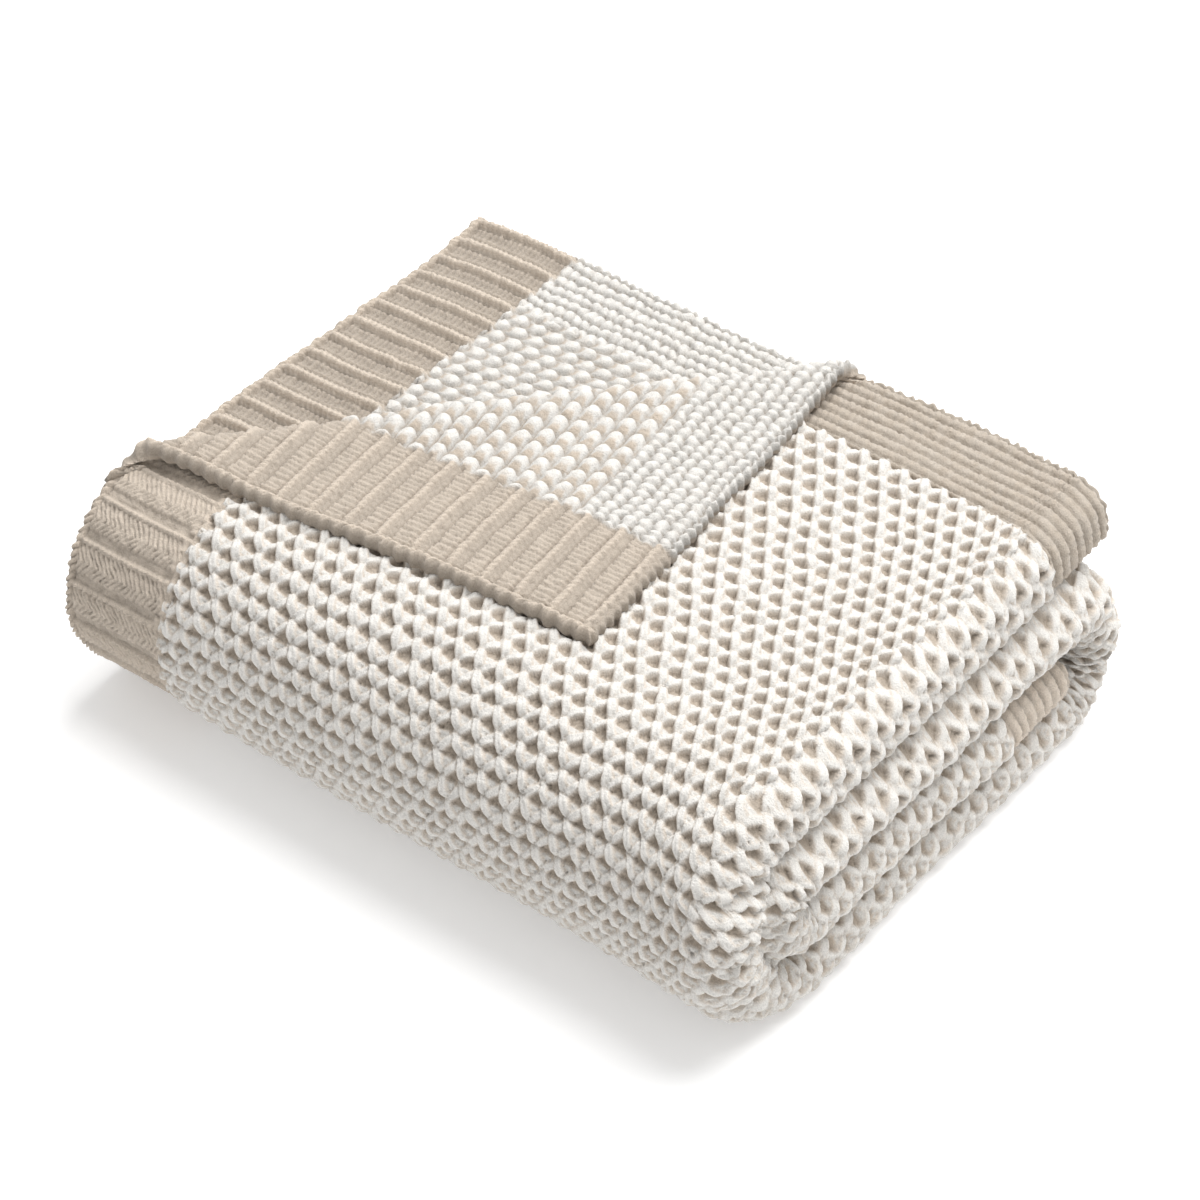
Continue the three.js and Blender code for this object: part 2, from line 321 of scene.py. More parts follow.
def hem_back(u, v, pitch, swell):
    """Hem band, reverse: pairs of rope ridges with wavy strokes between them."""
    w = v + 1.3 * noise(u, v, 40, 25) + 0.5 * noise(u, v, 9, 26)
    a = fraction(w / pitch) * pitch
    pair = a - 0.26 * pitch
    panel = (a - 0.76 * pitch) / (0.12 * pitch)
    zigzag = 1.6 * np.abs(panel - np.round(panel))
    height = 1.9 * strokes(u + zigzag, 0 * u, STROKE, 0, 27)
    near = np.abs(pair) < 0.25 * pitch
    for side in (-1, 1):
        ridge = rope(u + 1.3 * side, pair - side * 0.12 * pitch, 0.23 * pitch, TWIST, 1.2 * side)
        height = np.where(near, np.maximum(height - 2.2, 2.7 * ridge), height)
    height = height - 1.4 * hump(np.abs(pair) - 0.26 * pitch)
    wave = swell * np.cos(2 * np.pi * (pair / pitch - 0.02))
    return height - 1.4 + wave, HEM_TONE + 0 * u


def side_face(u, v):
    """Side band, face: fuzzy ridges along u."""
    w = v + 0.6 * noise(u, v, 24, 31)
    row = np.round(w / SIDE_RIDGE)
    a = w / SIDE_RIDGE - row
    knot = 0.5 + 0.5 * np.cos(2 * np.pi * (u / 3.6 + row * 0.5 + 0.3 * noise(u, v, 7, 33)))
    height = (2.9 + 0.8 * knot) * dome(a / 0.5) - 1.7
    return height, 0.10 + 0.08 * noise(u, v, 3, 32)


def side_back(u, v):
    """Side band, reverse: rows of white knots, with a groove after each row."""
    w = v + 0.9 * noise(u, v, 14, 34) + 1.3 * noise(u, v, 6, 37)
    row = np.round(w / KNOT_ROW)
    a = w / KNOT_ROW - row
    along = u / KNOT + 0.5 * (row % 2) + 0.30 * noise(u, v, 8, 35)
    b = along - np.round(along)
    grain = dome(np.hypot(a * 1.05, 1.1 * b) / 0.62)
    groove = hump((np.abs(a) - 0.5) / 0.12)
    height = 3.3 * grain - 1.6 - 0.8 * groove
    tone = 0.42 + 0.56 * smooth(grain, 0.05, 0.6) + 0.16 * noise(u, v, 2.4, 36)
    return height, np.clip(tone, 0, 1)


def mix(first, second, weight):
    """Passes from one knit to another as weight goes from 0 to 1."""
    height = first[0] * (1 - weight) + second[0] * weight
    tone = first[1] * (1 - weight) + second[1] * weight
    return height, tone


def bound_edge(u, v, knit, free_edges):
    """Rounds the ply off at its free edges and adds the chain of edge stitches."""
    height, tone = knit
    limit = np.full_like(u, 99.0)
    for edge in free_edges:
        away, along = {"hem": (u, v), "side": (v, u), "inner": (V_END - v, u)}[edge]
        limit = np.minimum(limit, away)
        if edge == "hem":
            chain = strokes(along, away, EDGE_CHAIN, 0.9, 61)
            chain = chain * (1 + 0.35 * noise(u, v, 9, 66))
            roll = (0.1 + 3.3 * chain) * dome((away - 0.5 * EDGE_ROLL) / (0.55 * EDGE_ROLL)) - 1.3
            groove = 0.8 * hump((away - EDGE_ROLL - 0.4) / 0.9)
            near = 1 - smooth(away, EDGE_ROLL - 1.2, EDGE_ROLL + 0.6)
            height = height * (1 - near) + roll * near - groove
            tone = tone * (1 - near) + 0.04 * near
    fade = dome(1 - np.clip((limit + 0.7 * noise(u, v, 5, 67)) / 2.8, 0, 1))
    return (height + 0.5 * PLY) * (0.12 + 0.88 * fade) - 0.5 * PLY, tone


def scallop(points):
    """Moves the hem edge in and out with its chain of stitches, and the side edge with its knots."""
    u, v, n = points.T
    chain = 0.5 - 0.5 * np.cos(2 * np.pi * (v + 1.5 * noise(u, v, 30, 63)) / SCALLOP_PITCH)
    hem_inset = SCALLOP * chain * (1 - smooth(u, 0, EDGE_ROLL)) + 1.2 * noise(v, 0 * u, 60, 62)
    knots = 0.5 - 0.5 * np.cos(2 * np.pi * (u + 2.0 * noise(u, 0 * v, 25, 64)) / KNOT)
    side_inset = SCALLOP * knots + 0.8 * noise(u, 0 * v, 40, 65)
    near_hem = 1 - smooth(u, 0, 2 * EDGE_ROLL)
    near_side = 1 - smooth(v, 0, 2 * EDGE_ROLL)
    return np.stack([u + hem_inset * near_hem, v + side_inset * near_side, n], axis=1)


def fuzz(u, v, seed):
    """Fine unevenness of the yarn itself. The pile is in the material."""
    return 0.34 * noise(u, v, 1.7, seed) + 0.38 * noise(u, v, 3.2, seed + 1)


def face_knit(u, v):
    """The face of the whole throw. Round the folded end the stitches spread out evenly."""
    u = np.where(u > U_FOLD, U_FOLD + (u - U_FOLD) * OUTER_FOLD_RADIUS / FOLD_MIDDLE, u)
    stair = 1.8 * np.sign(np.sin(2 * np.pi * v / CELL_V))
    border = HEM_BAND - 1.5 + stair
    purl = rope(v, u - border + 2.6, 5.0, 4.9, 0.5)
    hem = hem_face(u, v)
    hem = (np.maximum(hem[0], 1.7 * purl - 0.6), hem[1])
    knit = mix(hem, honeycomb(u, v), smooth(u, border - 0.5, border + 0.5))
    tooth = 3.2 * np.abs(fraction(u / (0.93 * CELL_U)) - 0.5)
    for side_v in (v, V_END - v):
        weight = 1 - smooth(side_v, SIDE_BAND - 1.0 - tooth, SIDE_BAND + 0.6 - tooth)
        weight = weight * (u > HEM_BAND - 2)
        # Painted shade: besides sinking the pits along the side band's sawtooth edge, this turns
        # their tone taupe.
        pit = hump((side_v - SIDE_BAND - 0.5) / 1.6) * (tooth < 0.6)
        knit = mix(knit, side_face(u, v), weight)
        knit = (knit[0] - 1.8 * pit * (u > HEM_BAND), knit[1] * (1 - 0.8 * pit))
    return knit


def back_knit(u, v, rib, swell, column, pitch, white_from):
    """The reverse of the whole throw."""
    border = HEM_BAND + 1.5 * np.sin(np.pi * v / column)
    hem = hem_back(u, v, rib, swell)
    field = popcorn(u, v, column, pitch, white_from)
    knit = mix(hem, field, smooth(u, border - 1.2, border + 0.6))
    for side_v in (v, V_END - v):
        weight = 1 - smooth(side_v, SIDE_BAND - 1.5, SIDE_BAND + 1.0)
        weight = weight * smooth(u, border - 1, border + 1)
        knit = mix(knit, side_back(u, v), weight)
    return knit


# ---- Folding: fabric coordinates to the folded stack ----

INNER_EDGE_INSET = 4.0  # the inner side edge stops this far before the open-side turn


def build_legs():
    """The ribbon's outer face in the YZ plane, as straight runs and half turns.

    A run has its start y, its z, its direction along Y, and its length.
    A turn has the y and z of its centre, its radius, and the angle it starts at."""
    wrap_radius = 0.5 * TOP
    open_radius = 0.5 * (3 * PAD_PITCH - PLY_GAP)
    inner_radius = PAD_PITCH - 0.5 * PLY_GAP
    y_wrap = Y_WRAP + wrap_radius
    y_open = Y_OPEN - open_radius
    run = y_open - y_wrap
    return (
        ("run", Y_OPEN, TOP, -1, Y_OPEN - y_wrap),
        ("turn", y_wrap, wrap_radius, wrap_radius, math.pi / 2),
        ("run", y_wrap, 0.0, 1, run),
        ("turn", y_open, open_radius, open_radius, -math.pi / 2),
        ("run", y_open, 2 * open_radius, -1, run),
        ("turn", y_wrap, PAD_PITCH + inner_radius, inner_radius, math.pi / 2),
        ("run", y_wrap, PAD_PITCH, 1, run - INNER_EDGE_INSET),
    )


LEGS = build_legs()
LEG_LENGTHS = [leg[4] if leg[0] == "run" else math.pi * leg[3] for leg in LEGS]
LEG_STARTS = np.concatenate([[0], np.cumsum(LEG_LENGTHS)])
V_END = float(LEG_STARTS[-1])


def ribbon(v, depth):
    """The place of a point at distance v along the ribbon, depth below its outer face."""
    y, z = np.zeros_like(v), np.zeros_like(v)
    for leg, start, length in zip(LEGS, LEG_STARTS, LEG_LENGTHS):
        last = leg is LEGS[-1]
        inside = (v >= start) & ((v < start + length) | last)
        inside |= (v < 0) & (start == 0)
        along = v[inside] - start
        if leg[0] == "run":
            y[inside] = leg[1] + leg[3] * along
            z[inside] = leg[2] + leg[3] * depth[inside]
        else:
            angle = leg[4] + along / leg[3]
            radius = leg[3] - depth[inside]
            y[inside] = leg[1] + radius * np.cos(angle)
            z[inside] = leg[2] + radius * np.sin(angle)
    return y, z


def fold_ply(points, x_centre, centre_depth, radius, towards):
    """A ply that runs from its hem to a fold and round it: a half turn of mean radius."""
    u, v, n = points.T
    straight = abs(x_centre - X_HEM)
    angle = np.clip((u - straight) / radius, 0, math.pi)
    before = np.minimum(u, straight)
    after = np.maximum(u - straight - math.pi * radius, 0)
    x = X_HEM + before + towards * (radius + n) * np.sin(angle) - after
    depth = centre_depth - (radius + n) * np.cos(angle)
    y, z = ribbon(v, depth)
    return np.stack([x, y, z], axis=1)


def fold_outer(points):
    return fold_ply(points, X_END_CENTRE, PAD_MIDDLE, FOLD_MIDDLE, 1)


def fold_inner(points):
    return fold_ply(points, X_END_CENTRE, PAD_MIDDLE, INNER_RADIUS, 1)


def fold_hem_end(points):
    """The fold at the hem end that joins panels 2 and 3. u starts where panel 3 ends."""
    u, v, n = points.T
    angle = np.clip(u / INNER_RADIUS, 0, math.pi)
    x = X_HEM_CENTRE - (INNER_RADIUS + n) * np.sin(angle)
    depth = 3 * PLY_PITCH - 0.5 * PLY_GAP - (INNER_RADIUS + n) * np.cos(angle)
    y, z = ribbon(v, depth)
    return np.stack([x, y, z], axis=1)


# The turned-back corner: the fabric rolls over with this mean radius and then lies down.
ROLL_RADIUS = 6.6
ROLL_DROP = 2 * ROLL_RADIUS - PLY - PLY_GAP - 1.4
ROLL_INSET = ROLL_RADIUS + 0.5 * PLY
ROLL_FLATTENS = (-6, 42)  # how far past the roll the corner starts and ends to come down
LEAST_RADIUS = 0.8  # keeps the stitches inside the roll from passing through each other


def crease_frame(u, v):
    """Distances along the crease, and inward from it, of a point of the flat top ply."""
    x = X_HEM + u - crease_start[0]
    y = Y_OPEN - v - crease_start[1]
    along = x * crease_direction[0] + y * crease_direction[1]
    inward = x * crease_inward[0] + y * crease_inward[1]
    return along, inward


def fold_corner(points):
    u, v, n = points.T
    along, inward = crease_frame(u, v)
    arc = np.maximum(ROLL_INSET - inward, 0)
    angle = np.clip(arc / ROLL_RADIUS, 0, math.pi)
    rest = np.maximum(arc - math.pi * ROLL_RADIUS, 0)
    flat = np.minimum(ROLL_INSET - inward, 0)
    reach = np.maximum(ROLL_RADIUS - n, LEAST_RADIUS)
    w = ROLL_INSET - flat - reach * np.sin(angle) + rest
    drop = ROLL_DROP * smooth(rest, *ROLL_FLATTENS)
    level = np.where(angle > 0, ROLL_RADIUS - reach * np.cos(angle), n)
    z = TOP - 0.5 * PLY + np.where(rest > 0, 2 * ROLL_RADIUS - n, level) - drop
    x = crease_start[0] + along * crease_direction[0] + w * crease_inward[0]
    y = crease_start[1] + along * crease_direction[1] + w * crease_inward[1]
    return np.stack([x, y, z], axis=1)


# How far each pad's folded end stands proud of the frame, base pad first.
PAD_ENDS = (4.0, 5.0, 2.0, -11.0)
PINCH = 5.0  # how far the creases between the pads' folded ends draw back
CROWN = 3.0  # how far the top rises in the middle
LUMPS = 1.5  # uneven lumps all over
SAG = 2.2  # the pads' folded ends wave up and down along Y
ROUNDED_X, ROUNDED_Y = 6.0, 4.0  # how far the front corner draws in
FLOOR_GAP = 0.2  # the lowest stitches lie this far above the floor


def settle(points):
    """Soft, hand-folded irregularity: a smooth shift of all of space, so plies still nest."""
    x, y, z = points.T.copy()
    across = np.clip((x - X_HEM) / LENGTH, 0, 1) * 2 - 1
    along = np.clip((y - Y_WRAP) / WIDTH, 0, 1) * 2 - 1
    up = np.clip(z / TOP, 0, 1.2)
    open_side = np.maximum(along, 0) ** 3
    crown = (1 - across**2) * (1 - along**2) - 0.8 * across**6 + 1.6 * open_side
    pad = np.interp(z, (np.arange(4) + 0.5) * PAD_PITCH, PAD_ENDS)
    reach = smooth(across, 0.55, 1.0)
    move_x = reach * (pad + 2.0 * noise(y + 500, z * 2, 70, 41))
    rounding = smooth(across, 0.6, 1.0) * smooth(-along, 0.55, 1.0)
    move_x = move_x - ROUNDED_X * rounding
    move_y = -ROUNDED_Y * rounding + LUMPS * noise(x + 300, z, 75, 42) * (1 - 0.5 * up)
    lumps = LUMPS * noise(x, y + 200, 80, 43) + 0.5 * LUMPS * noise(x, y, 33, 44)
    wave = np.sin(2 * np.pi * (y - Y_WRAP) / WIDTH + 0.6)
    sag = SAG * reach * wave * np.sin(np.pi * np.clip(up, 0, 1))
    layer = fraction(z / PAD_PITCH) - 0.5
    pinch = PINCH * smooth(across, 0.80, 1.0) * (2 * layer) ** 4
    z_new = np.maximum(z + up * (CROWN * crown + lumps) + sag, FLOOR_GAP)
    return np.stack([x + move_x - pinch, y + move_y, z_new], axis=1)


# ---- Meshes ----


def every(step, count):
    """Every step-th index below count, and the last one."""
    return np.unique(np.append(np.arange(0, count - 1, step), count - 1))


def grid_solid(us, vs, front, back, coarsen):
    """A closed solid in fabric coordinates: a fine front face, and a back face that keeps
    every coarsen-th sample. front and back give (n, tone, shade) from u and v."""
    nu, nv = len(us), len(vs)
    gu, gv = [g.ravel() for g in np.meshgrid(us, vs, indexing="ij")]
    n_front, *marks_front = front(gu, gv)
    iu, iv = every(coarsen, nu), every(coarsen, nv)
    mu, mv = len(iu), len(iv)
    bu, bv = [g.ravel() for g in np.meshgrid(us[iu], vs[iv], indexing="ij")]
    n_back, *marks_back = back(bu, bv)
    points = np.concatenate([np.stack([gu, gv, n_front], 1), np.stack([bu, bv, n_back], 1)])
    marks = [np.concatenate(pair) for pair in zip(marks_front, marks_back)]
    offset = nu * nv

    def quads(rows, columns, start, flip):
        i, j = np.divmod(np.arange((rows - 1) * (columns - 1)), columns - 1)
        a = start + i * columns + j
        ring = np.stack([a, a + columns, a + columns + 1, a + 1], 1)
        return ring[:, ::-1] if flip else ring

    fine = quads(nu, nv, 0, False)
    rough = quads(mu, mv, offset, True)
    walls = []
    for side in range(4):
        fixed_last = side in (1, 2)
        along_u = side in (0, 2)
        index = iu if along_u else iv
        for k in range(len(index) - 1):
            span = np.arange(index[k], index[k + 1] + 1)
            if along_u:
                column = nv - 1 if fixed_last else 0
                top = span * nv + column
                low = offset + np.array([k, k + 1]) * mv + (mv - 1 if fixed_last else 0)
            else:
                row = nu - 1 if fixed_last else 0
                top = row * nv + span
                low = offset + (mu - 1 if fixed_last else 0) * mv + np.array([k, k + 1])
            ring = np.concatenate([top, low[::-1]])
            forward = along_u == fixed_last
            walls.append(ring if forward else ring[::-1])
    return points, marks, fine, rough, walls


def build_mesh(name, points, marks, fine, rough, walls):
    mesh = bpy.data.meshes.new(name)
    quad_totals = np.full(len(fine) + len(rough), 4)
    totals = np.concatenate([quad_totals, [len(w) for w in walls]]).astype(np.int32)
    corners = np.concatenate([fine.ravel(), rough.ravel(), *walls]).astype(np.int32)
    starts = np.concatenate([[0], np.cumsum(totals)[:-1]]).astype(np.int32)
    mesh.vertices.add(len(points))
    mesh.vertices.foreach_set("co", points.astype(np.float32).ravel())
    mesh.loops.add(len(corners))
    mesh.loops.foreach_set("vertex_index", corners)
    mesh.polygons.add(len(totals))
    mesh.polygons.foreach_set("loop_start", starts)
    mesh.polygons.foreach_set("loop_total", totals)
    for mark, values in zip(("tone", "shade"), marks):
        attribute = mesh.attributes.new(mark, "FLOAT", "POINT")
        attribute.data.foreach_set("value", values.astype(np.float32))
    mesh.update(calc_edges=True)
    mesh.validate()
    return mesh


def cut_at_crease(mesh, keep_corner):
    """Cuts the flat knit where the corner's roll starts and closes the cut."""
    normal = Vector((crease_inward[0], -crease_inward[1], 0))
    place = Vector((0, TURNED_ALONG_HEM, 0)) + normal * float(ROLL_INSET)
    work = bmesh.new()
    work.from_mesh(mesh)
    everything = work.verts[:] + work.edges[:] + work.faces[:]
    sides = {"clear_outer": keep_corner, "clear_inner": not keep_corner}
    cut = bmesh.ops.bisect_plane(work, geom=everything, plane_co=place, plane_no=normal, **sides)
    edges = [e for e in cut["geom_cut"] if isinstance(e, bmesh.types.BMEdge)]
    bmesh.ops.edgeloop_fill(work, edges=edges)
    work.to_mesh(mesh)
    work.free()


def knit_piece(name, us, vs, front, back, fold, body, slot, coarsen=6, cut=None):
    """Knits a piece flat, folds it, settles it, and puts it on its body."""
    def front_surface(u, v):
        height, tone = front(u, v)
        height = height + fuzz(u, v, 51)
        return 0.5 * PLY + height, tone, relief_shade(height)

    def back_surface(u, v):
        height, tone = back(u, v)
        height = height + (fuzz(u, v, 53) if coarsen == 1 else 0)
        return -0.5 * PLY - height, tone, relief_shade(height)

    mesh = build_mesh(name, *grid_solid(us, vs, front_surface, back_surface, coarsen))
    if cut is not None:
        cut_at_crease(mesh, cut)
    flat = np.empty(3 * len(mesh.vertices), np.float32)
    mesh.vertices.foreach_get("co", flat)
    folded = settle(fold(scallop(flat.reshape(-1, 3).astype(float)))) * MM
    mesh.vertices.foreach_set("co", folded.astype(np.float32).ravel())
    mesh.shade_smooth()
    mesh.update()
    piece = bpy.data.objects.new(name, mesh)
    bpy.context.scene.collection.objects.link(piece)
    mesh.materials.append(MATERIALS[slot])
    if body is not None:
        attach(piece, body)
    return piece


def relief_shade(height):
    """How much light reaches the pile: little down in the grooves."""
    return smooth(height, -2.8, 2.8)


def plain(u, v):
    """Smooth knit of an even middle tone, for plies that are hardly seen."""
    return 0 * u, 0.5 + 0 * u


def edged_plain(free_edges):
    return lambda u, v: bound_edge(u, v, plain(u, v), free_edges)


# ---- Materials ----


def yarn_material(name, taupe, white):
    """Chenille: two yarn colours by tone, mottled pile, deep fine bump and a soft sheen; the tone
    and the shade mark also darken the colour as painted shade.
    """
    material = bpy.data.materials.new(name)
    material.use_nodes = True
    nodes, links = material.node_tree.nodes, material.node_tree.links
    shader = nodes["Principled BSDF"]
    shader.inputs["Roughness"].default_value = 0.95
    shader.inputs["Specular IOR Level"].default_value = 0.15
    shader.inputs["Sheen Weight"].default_value = 0.15
    shader.inputs["Sheen Roughness"].default_value = 0.45
    place = nodes.new("ShaderNodeTexCoord")

    def mark(name):
        attribute = nodes.new("ShaderNodeAttribute")
        attribute.attribute_name = name
        return attribute.outputs["Fac"]

    def pile(scale, detail):
        texture = nodes.new("ShaderNodeTexNoise")
        texture.inputs["Scale"].default_value = scale
        texture.inputs["Detail"].default_value = detail
        links.new(place.outputs["Object"], texture.inputs["Vector"])
        return texture.outputs["Fac"]

    def to_range(source, source_low, source_high, low, high):
        change = nodes.new("ShaderNodeMapRange")
        change.inputs["From Min"].default_value = source_low
        change.inputs["From Max"].default_value = source_high
        change.inputs["To Min"].default_value = low
        change.inputs["To Max"].default_value = high
        links.new(source, change.inputs["Value"])
        return change.outputs["Result"]

    def product(first, second):
        times = nodes.new("ShaderNodeMath")
        times.operation = "MULTIPLY"
        links.new(first, times.inputs[0])
        links.new(second, times.inputs[1])
        return times.outputs["Value"]

    fine, broad = pile(1300, 4), pile(160, 2)
    yarns = nodes.new("ShaderNodeMix")
    yarns.data_type = "RGBA"
    yarns.inputs["A"].default_value = (*taupe, 1)
    yarns.inputs["B"].default_value = (*white, 1)
    links.new(mark("tone"), yarns.inputs["Factor"])
    mottle = product(to_range(fine, 0.3, 0.7, 0.85, 1.10), to_range(broad, 0, 1, 0.94, 1.05))
    brightness = product(mottle, to_range(mark("shade"), 0, 1, 0.60, 1.08))
    colour = nodes.new("ShaderNodeVectorMath")
    colour.operation = "SCALE"
    links.new(yarns.outputs["Result"], colour.inputs[0])
    links.new(brightness, colour.inputs["Scale"])
    links.new(colour.outputs["Vector"], shader.inputs["Base Color"])
    bump = nodes.new("ShaderNodeBump")
    bump.inputs["Strength"].default_value = 0.6
    bump.inputs["Distance"].default_value = 0.0015
    links.new(fine, bump.inputs["Height"])
    links.new(bump.outputs["Normal"], shader.inputs["Normal"])
    return material


MATERIALS = {
    "field_knit": yarn_material("field_knit", TAUPE, WHITE),
    "hem_knit": yarn_material("hem_knit", TAUPE, WHITE),
    "side_knit": yarn_material("side_knit", SIDE_TAUPE, WHITE),
}

# ---- The camera: it comes first, and looks down at the front corner ----

CAMERA_TARGET = (0.0075, 0, 0.062)
CAMERA_AZIMUTH = math.radians(38.05)
CAMERA_ELEVATION = math.radians(41.0)
CAMERA_DISTANCE = 1.635
FRAME_WIDTH = 0.594  # what the frame spans at the object, in metres
CAMERA_SHIFT = (-0.0025, 0.0057)


def make_camera():
    target = Vector(CAMERA_TARGET)
    back = Vector((
        math.sin(CAMERA_AZIMUTH) * math.cos(CAMERA_ELEVATION),
        -math.cos(CAMERA_AZIMUTH) * math.cos(CAMERA_ELEVATION),
        math.sin(CAMERA_ELEVATION),
    ))
    data = bpy.data.cameras.new("camera")
    data.lens = data.sensor_width * CAMERA_DISTANCE / FRAME_WIDTH
    data.shift_x, data.shift_y = CAMERA_SHIFT
    camera = bpy.data.objects.new("camera", data)
    camera.location = target + back * CAMERA_DISTANCE
    camera.rotation_euler = back.to_track_quat("Z", "Y").to_euler()
    bpy.context.scene.collection.objects.link(camera)
    bpy.context.scene.camera = camera


make_camera()

# ---- The pieces. An outer ply's free edges are named hem, side and inner. ----

V_WRAP = float(LEG_STARTS[2])  # where the base starts
V_BASE = float(LEG_STARTS[3])  # where the open-side turn starts
V_OPEN = float(LEG_STARTS[4])  # where the ribbon goes inside the stack
OUTER_STEPS = (
    (SIDE_BAND, V_WRAP, FINE),
    (V_WRAP, V_BASE, MEDIUM),
    (V_BASE, V_OPEN, FAIRLY_FINE),
)
STACK = "folded_stack"
HIDDEN = 40  # the outer ply's inside run keeps the fine mesh this far in from its fold


def outer_face(free_edges):
    return lambda u, v: bound_edge(u, v, face_knit(u, v), free_edges)


def outer_back(reverse, free_edges):
    return lambda u, v: bound_edge(u, v, back_knit(u, v, *reverse), free_edges)


def make_outer_ply():
    """Panel 1 and its fold to panel 2: the face of the knit is outermost."""
    hem_us = spread((0, HEM_BAND, FINE))
    field_us = spread((HEM_BAND, U_END, FINE))
    hidden_us = spread((HEM_BAND, U_FOLD - HIDDEN, COARSE), (U_FOLD - HIDDEN, U_END, FINE))
    side_vs = spread((0, SIDE_BAND, FINE))
    outer_vs = spread(*OUTER_STEPS)
    inner_vs = spread((V_OPEN, V_END, FAIRLY_FINE))
    all_vs = spread((0, SIDE_BAND, FINE), *OUTER_STEPS, (V_OPEN, V_END, MEDIUM))
    edges = ["hem", "side", "inner"]
    hem = knit_piece("outer_hem_band", hem_us, all_vs, outer_face(edges),
                     edged_plain(edges), fold_outer, STACK, "hem_knit", cut=False)
    field = knit_piece("outer_field", field_us, outer_vs, outer_face([]),
                       plain, fold_outer, STACK, "field_knit", cut=False)
    side = knit_piece("outer_side_band", field_us, side_vs, outer_face(["side"]),
                      edged_plain(["side"]), fold_outer, STACK, "side_knit", cut=False)
    inside = knit_piece("outer_inner_run", hidden_us, inner_vs, outer_face(["inner"]),
                        edged_plain(["inner"]), fold_outer, STACK, "field_knit")
    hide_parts("panel_1_hem_band")
    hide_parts("panel_1_field", "fold_1_2_field")
    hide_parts("panel_1_side_band", "fold_1_2_side_band")
    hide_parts("panel_1_inner_side_band", "fold_1_2_inner_side_band")


def hidden_panel(name, start_u, length, fold):
    """Panel 2 or 3, inside the pad: only its edges are seen."""
    us = spread((start_u, start_u + length, MEDIUM))
    edge_steps = (0, EDGE_STRIP, FINE), (EDGE_STRIP, V_END - EDGE_STRIP, COARSE)
    vs = spread(*edge_steps, (V_END - EDGE_STRIP, V_END, FINE))
    surface = edged_plain(["side", "inner"])
    panel = knit_piece(name, us, vs, surface, surface, fold, STACK, "side_knit", 2)
    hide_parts(f"{name}_side_band", f"{name}_field", f"{name}_inner_side_band")


def make_panel_2():
    length = LENGTH - OUTER_FOLD_RADIUS - INNER_FOLD_RADIUS
    hidden_panel("panel_2", U_END, length, fold_outer)


U_TURN = U_FOLD + math.pi * INNER_RADIUS  # where panel 3 starts
SEEN_PAST_CORNER = 12  # the second ply is knitted in full this far past the turned corner


def make_panel_4():
    """Panel 4 and its fold to panel 3: the reverse of the knit is outermost."""
    edges = ["hem", "side", "inner"]
    seen_v = TURNED_ALONG_HEM + SEEN_PAST_CORNER
    seen_u = TURNED_ALONG_SIDE + SEEN_PAST_CORNER
    corner_vs = spread((0, seen_v, FINE))
    rest_vs = spread((seen_v, V_END, MEDIUM))
    far_vs = spread((0, EDGE_STRIP, FINE), (EDGE_STRIP, seen_v, COARSE))
    hem_us = spread((0, HEM_BAND, FINE))
    hem_run_us = spread((0, EDGE_STRIP, FINE), (EDGE_STRIP, HEM_BAND, COARSE))
    corner_us = spread((HEM_BAND, seen_u, FINE))
    rest_us = spread((HEM_BAND, U_TURN, COARSE))
    far_us = spread((seen_u, U_TURN, COARSE))
    knitted = outer_back(SECOND_REVERSE, edges)
    all_plain = edged_plain(edges)
    side_plain, inner_plain = edged_plain(["side"]), edged_plain(["inner"])
    hem = knit_piece("second_hem_band", hem_us, corner_vs, knitted, all_plain,
                     fold_inner, STACK, "hem_knit")
    knit_piece("second_hem_run", hem_run_us, rest_vs, knitted, all_plain,
               fold_inner, STACK, "hem_knit", 2)
    knitted_field = knit_piece("second_field", corner_us, corner_vs, knitted, side_plain,
                               fold_inner, STACK, "field_knit")
    far = knit_piece("second_far", far_us, far_vs, side_plain, side_plain,
                     fold_inner, STACK, "side_knit", 2)
    run = knit_piece("second_run", rest_us, rest_vs, inner_plain, inner_plain,
                     fold_inner, STACK, "field_knit", 2)
    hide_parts("panel_4_hem_band")
    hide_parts("panel_4_side_band")
    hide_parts("fold_3_4_side_band")
    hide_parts("panel_4_field", "panel_4_inner_side_band", "fold_3_4_field",
                "fold_3_4_inner_side_band")


def make_panel_3():
    hidden_panel("panel_3", U_TURN, U_FOLD - INNER_FOLD_RADIUS, fold_inner)


def make_hem_end_fold():
    us = spread((0, math.pi * INNER_RADIUS, FINE))
    vs = spread((0, V_END, MEDIUM))
    surface = edged_plain(["side", "inner"])
    turn = knit_piece("hem_end_fold", us, vs, surface, surface, fold_hem_end, STACK, "field_knit", 2)
    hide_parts("fold_2_3_side_band", "fold_2_3_field", "fold_2_3_inner_side_band")


PAST_CREASE = 24  # the corner's sheet is knitted this far past the crease, then cut


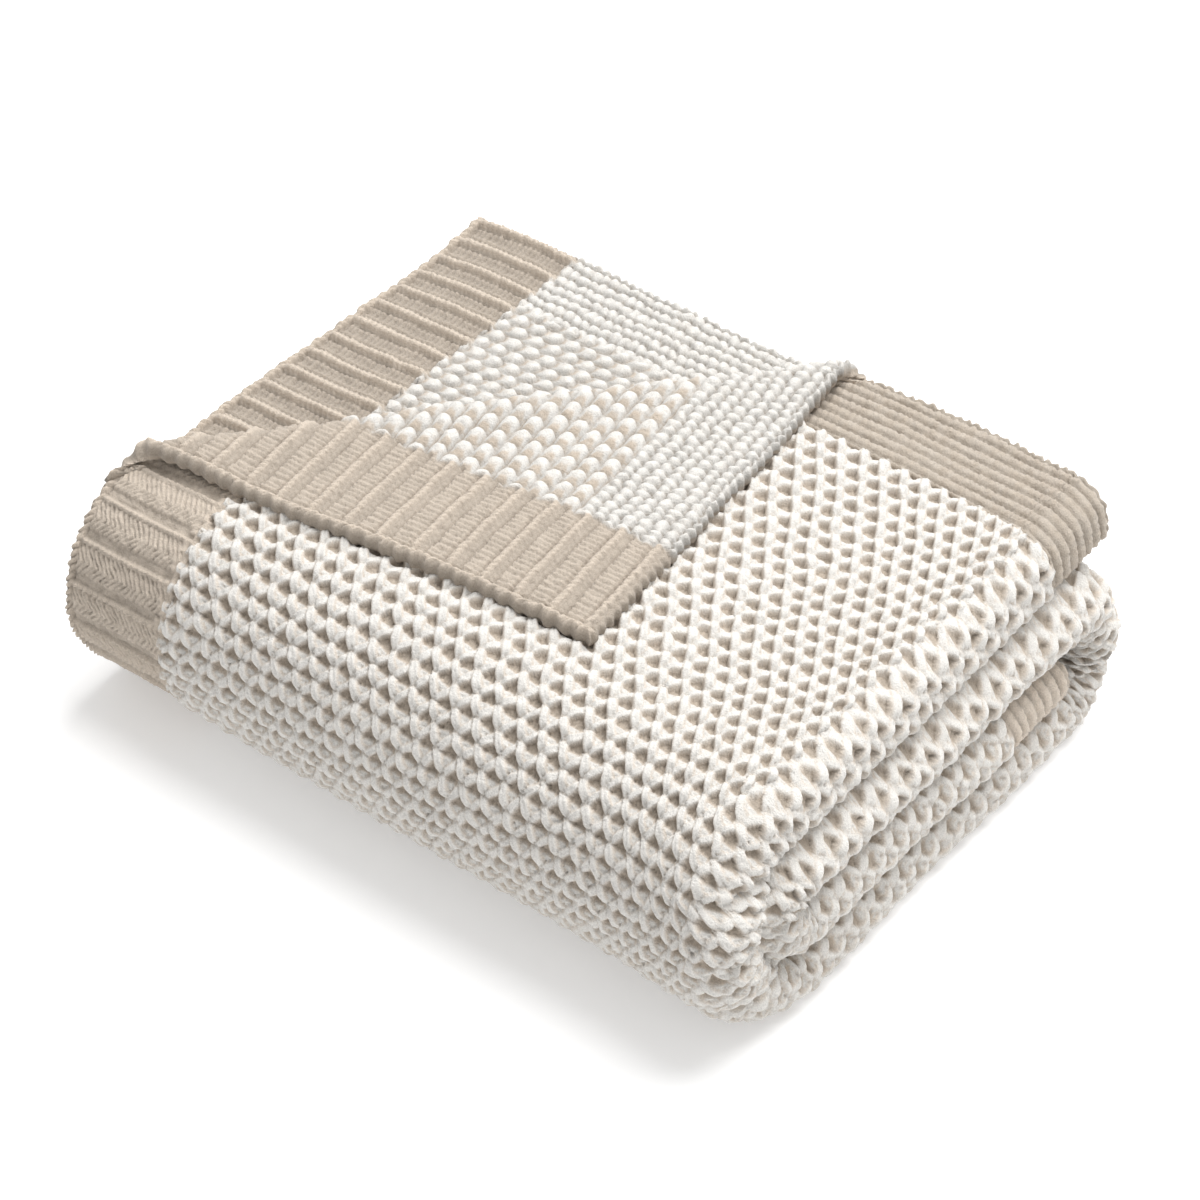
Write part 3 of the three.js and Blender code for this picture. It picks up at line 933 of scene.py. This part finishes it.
def make_corner():
    """The turned-back corner, in one piece with its rolled crease."""
    us = spread((0, TURNED_ALONG_SIDE + PAST_CREASE, FINE))
    vs = spread((0, TURNED_ALONG_HEM + PAST_CREASE, FINE))
    edges = ["hem", "side"]
    piece = knit_piece("corner_flap", us, vs, outer_face(edges), outer_back(CORNER_REVERSE, edges),
                       fold_corner, None, "field_knit", coarsen=1, cut=True)
    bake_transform(piece)
    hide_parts("flap_hem_band", "flap_side_band", "flap_field", "flap_crease")


make_outer_ply()
make_panel_2()
make_panel_4()
make_panel_3()
make_hem_end_fold()
make_corner()

# ---- Studio ----

FLOOR_HALF = 6.0
FLOOR_GREY = 0.78
FLOOR_GLOW = 0.30
SKY = 0.62
KEY_PLACE = (0.25, 1.0, 2.7)  # above, and a little behind the open side
KEY_SIZE = 2.4
KEY_POWER = 103


def make_floor():
    mesh = bpy.data.meshes.new("floor")
    signs = ((-1, -1), (1, -1), (1, 1), (-1, 1))
    mesh.from_pydata([(FLOOR_HALF * x, FLOOR_HALF * y, 0) for x, y in signs], [], [(0, 1, 2, 3)])
    floor = bpy.data.objects.new("floor", mesh)
    material = bpy.data.materials.new("floor")
    material.use_nodes = True
    shader = material.node_tree.nodes["Principled BSDF"]
    shader.inputs["Base Color"].default_value = (FLOOR_GREY, FLOOR_GREY, FLOOR_GREY, 1)
    shader.inputs["Roughness"].default_value = 0.9
    shader.inputs["Emission Color"].default_value = (1, 1, 1, 1)
    shader.inputs["Emission Strength"].default_value = FLOOR_GLOW
    mesh.materials.append(material)
    bpy.context.scene.collection.objects.link(floor)


def make_sky():
    world = bpy.data.worlds.new("studio")
    world.use_nodes = True
    background = world.node_tree.nodes["Background"]
    background.inputs["Color"].default_value = (1, 1, 1, 1)
    background.inputs["Strength"].default_value = SKY
    bpy.context.scene.world = world
    bpy.context.scene.view_settings.view_transform = "Standard"


def make_key_light():
    data = bpy.data.lights.new("key", "AREA")
    data.shape = "DISK"
    data.size = KEY_SIZE
    data.energy = KEY_POWER
    light = bpy.data.objects.new("key", data)
    light.location = KEY_PLACE
    light.rotation_euler = Vector(KEY_PLACE).to_track_quat("Z", "Y").to_euler()
    bpy.context.scene.collection.objects.link(light)


make_floor()
make_sky()
make_key_light()
